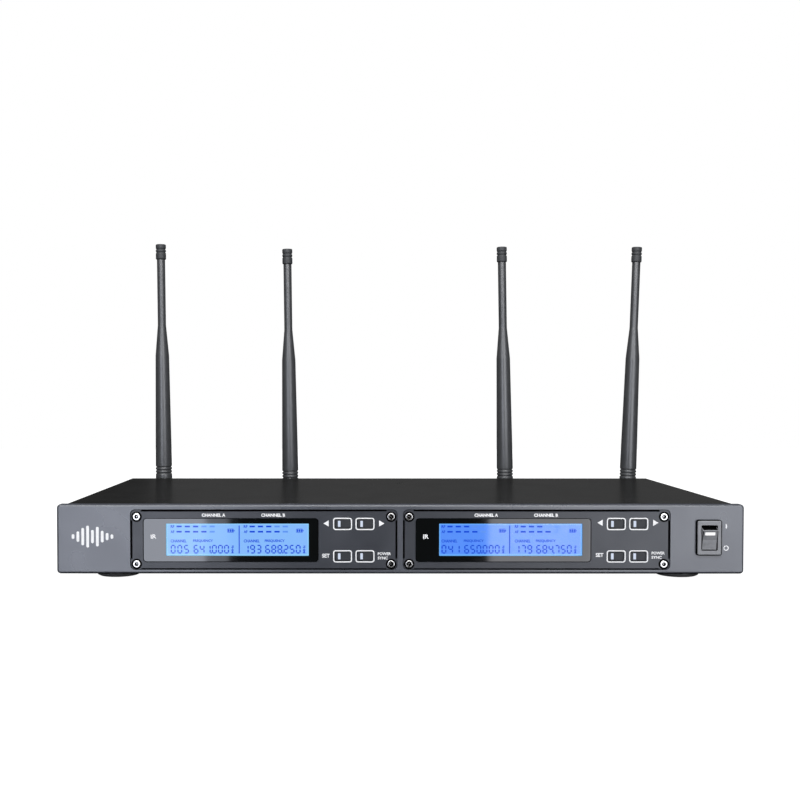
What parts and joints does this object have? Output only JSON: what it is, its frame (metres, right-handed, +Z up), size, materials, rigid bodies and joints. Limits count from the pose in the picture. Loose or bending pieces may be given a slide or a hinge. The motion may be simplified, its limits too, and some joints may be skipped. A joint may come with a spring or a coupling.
{
  "type": "wireless receiver unit",
  "caption": "Desktop wireless receiver one rack unit high, with twin backlit display modules, press keys, a power rocker and swivelling, folding whip aerials.",
  "frame": {"origin": "on the surface it stands on, at the middle of the whole object in width and depth", "axes": "+X to the right seen from the front, +Y from the front panel to the rear connectors, +Z up"},
  "size_m": [0.431, 0.2483, 0.2448],
  "materials": {
    "panel": "satin",
    "module_face": "satin",
    "cover": "semi-gloss",
    "tray": "satin",
    "zinc_screw": "polished",
    "black_screw": "satin",
    "foot_rubber": "matt",
    "lens": "gloss",
    "lcd": "satin",
    "key": "matt",
    "switch_body": "satin",
    "rocker": "satin",
    "board": "satin",
    "tin": "satin",
    "post": "satin",
    "nickel": "satin",
    "brass": "polished",
    "connector_plastic": "satin",
    "whip": "satin",
    "elbow": "satin",
    "lead": "satin",
    "ribbon": "satin",
    "transformer": "satin",
    "capacitor": "gloss"
  },
  "bodies": {
    "case": {"aerial_sockets": "nickel", "base_tray": "tray", "board_standoffs": "post", "case_screws": "black_screw", "coax_leads": "lead", "connector_nuts": "nickel", "connector_screws": "black_screw", "display_boards": "board", "display_lens_left": "lens", "display_lens_right": "lens", "faceplate_left": "module_face", "faceplate_right": "module_face", "faceplate_screws": "zinc_screw", "foot_screws": "zinc_screw", "front_panel": "panel", "lcd_modules": "lcd", "mains_blades": "brass", "mains_inlet": "connector_plastic", "mains_leads": "lead", "output_board": "board", "output_jack": "connector_plastic", "power_switch_frame": "switch_body", "power_transformer": "transformer", "rear_panel": "tray", "receiver_boards": "board", "receiver_shields": "tin", "ribbon_cables": "ribbon", "rubber_feet": "foot_rubber", "supply_board": "board", "supply_capacitors": "capacitor", "tact_switches": "connector_plastic", "top_cover": "cover", "xlr_inserts": "connector_plastic", "xlr_pins": "brass", "xlr_shells": "nickel"},
    "previous_key_left": {"previous_button_left": "key"},
    "next_key_left": {"next_button_left": "key"},
    "set_key_left": {"set_button_left": "key"},
    "sync_key_left": {"sync_button_left": "key"},
    "previous_key_right": {"previous_button_right": "key"},
    "next_key_right": {"next_button_right": "key"},
    "set_key_right": {"set_button_right": "key"},
    "sync_key_right": {"sync_button_right": "key"},
    "rocker": {"power_rocker": "rocker"},
    "ring_1": {"aerial_ring_1": "nickel"},
    "elbow_1": {"aerial_elbow_1": "elbow"},
    "whip_1": {"aerial_whip_1": "whip", "aerial_cap_1": "whip"},
    "ring_2": {"aerial_ring_2": "nickel"},
    "elbow_2": {"aerial_elbow_2": "elbow"},
    "whip_2": {"aerial_whip_2": "whip", "aerial_cap_2": "whip"},
    "ring_3": {"aerial_ring_3": "nickel"},
    "elbow_3": {"aerial_elbow_3": "elbow"},
    "whip_3": {"aerial_whip_3": "whip", "aerial_cap_3": "whip"},
    "ring_4": {"aerial_ring_4": "nickel"},
    "elbow_4": {"aerial_elbow_4": "elbow"},
    "whip_4": {"aerial_whip_4": "whip", "aerial_cap_4": "whip"}
  },
  "joints": [
    {"name": "previous_press_left", "type": "slide", "parent": "case", "child": "previous_key_left", "axis": [0, 1, 0], "range_m": [0, 0.0008], "stiffness_N_per_m": 900, "springref_m": -0.001},
    {"name": "next_press_left", "type": "slide", "parent": "case", "child": "next_key_left", "axis": [0, 1, 0], "range_m": [0, 0.0008], "stiffness_N_per_m": 900, "springref_m": -0.001},
    {"name": "set_press_left", "type": "slide", "parent": "case", "child": "set_key_left", "axis": [0, 1, 0], "range_m": [0, 0.0008], "stiffness_N_per_m": 900, "springref_m": -0.001},
    {"name": "sync_press_left", "type": "slide", "parent": "case", "child": "sync_key_left", "axis": [0, 1, 0], "range_m": [0, 0.0008], "stiffness_N_per_m": 900, "springref_m": -0.001},
    {"name": "previous_press_right", "type": "slide", "parent": "case", "child": "previous_key_right", "axis": [0, 1, 0], "range_m": [0, 0.0008], "stiffness_N_per_m": 900, "springref_m": -0.001},
    {"name": "next_press_right", "type": "slide", "parent": "case", "child": "next_key_right", "axis": [0, 1, 0], "range_m": [0, 0.0008], "stiffness_N_per_m": 900, "springref_m": -0.001},
    {"name": "set_press_right", "type": "slide", "parent": "case", "child": "set_key_right", "axis": [0, 1, 0], "range_m": [0, 0.0008], "stiffness_N_per_m": 900, "springref_m": -0.001},
    {"name": "sync_press_right", "type": "slide", "parent": "case", "child": "sync_key_right", "axis": [0, 1, 0], "range_m": [0, 0.0008], "stiffness_N_per_m": 900, "springref_m": -0.001},
    {"name": "rocker_tilt", "type": "hinge", "parent": "case", "child": "rocker", "pos_m": [0.193, -0.1176, 0.02935], "axis": [-1, 0, 0], "range_deg": [0, 30]},
    {"name": "ring_1_lock", "type": "hinge", "parent": "case", "child": "ring_1", "pos_m": [-0.1896, 0.1004, 0.0284], "axis": [0, 1, 0], "range_deg": [0, 90]},
    {"name": "aerial_1_swivel", "type": "hinge", "parent": "case", "child": "elbow_1", "pos_m": [-0.1896, 0.1174, 0.0284], "axis": [0, 1, 0], "range_deg": [-90, 25]},
    {"name": "aerial_1_fold", "type": "hinge", "parent": "elbow_1", "child": "whip_1", "pos_m": [-0.1896, 0.1174, 0.0284], "axis": [-1, 0, -0.0096], "range_deg": [0, 90]},
    {"name": "ring_2_lock", "type": "hinge", "parent": "case", "child": "ring_2", "pos_m": [-0.0825, 0.1004, 0.0284], "axis": [0, 1, 0], "range_deg": [0, 90]},
    {"name": "aerial_2_swivel", "type": "hinge", "parent": "case", "child": "elbow_2", "pos_m": [-0.0825, 0.1174, 0.0284], "axis": [0, 1, 0], "range_deg": [-25, 42]},
    {"name": "aerial_2_fold", "type": "hinge", "parent": "elbow_2", "child": "whip_2", "pos_m": [-0.0825, 0.1174, 0.0284], "axis": [-0.9999, 0, -0.0122], "range_deg": [0, 90]},
    {"name": "ring_3_lock", "type": "hinge", "parent": "case", "child": "ring_3", "pos_m": [0.0993, 0.1004, 0.0284], "axis": [0, 1, 0], "range_deg": [0, 90]},
    {"name": "aerial_3_swivel", "type": "hinge", "parent": "case", "child": "elbow_3", "pos_m": [0.0993, 0.1174, 0.0284], "axis": [0, 1, 0], "range_deg": [-42, 25]},
    {"name": "aerial_3_fold", "type": "hinge", "parent": "elbow_3", "child": "whip_3", "pos_m": [0.0993, 0.1174, 0.0284], "axis": [-0.9998, 0, -0.0175], "range_deg": [0, 90]},
    {"name": "ring_4_lock", "type": "hinge", "parent": "case", "child": "ring_4", "pos_m": [0.2023, 0.1004, 0.0284], "axis": [0, 1, 0], "range_deg": [0, 90]},
    {"name": "aerial_4_swivel", "type": "hinge", "parent": "case", "child": "elbow_4", "pos_m": [0.2023, 0.1174, 0.0284], "axis": [0, 1, 0], "range_deg": [-25, 88]},
    {"name": "aerial_4_fold", "type": "hinge", "parent": "elbow_4", "child": "whip_4", "pos_m": [0.2023, 0.1174, 0.0284], "axis": [-0.9995, 0, 0.0332], "range_deg": [0, 90]}
  ]
}
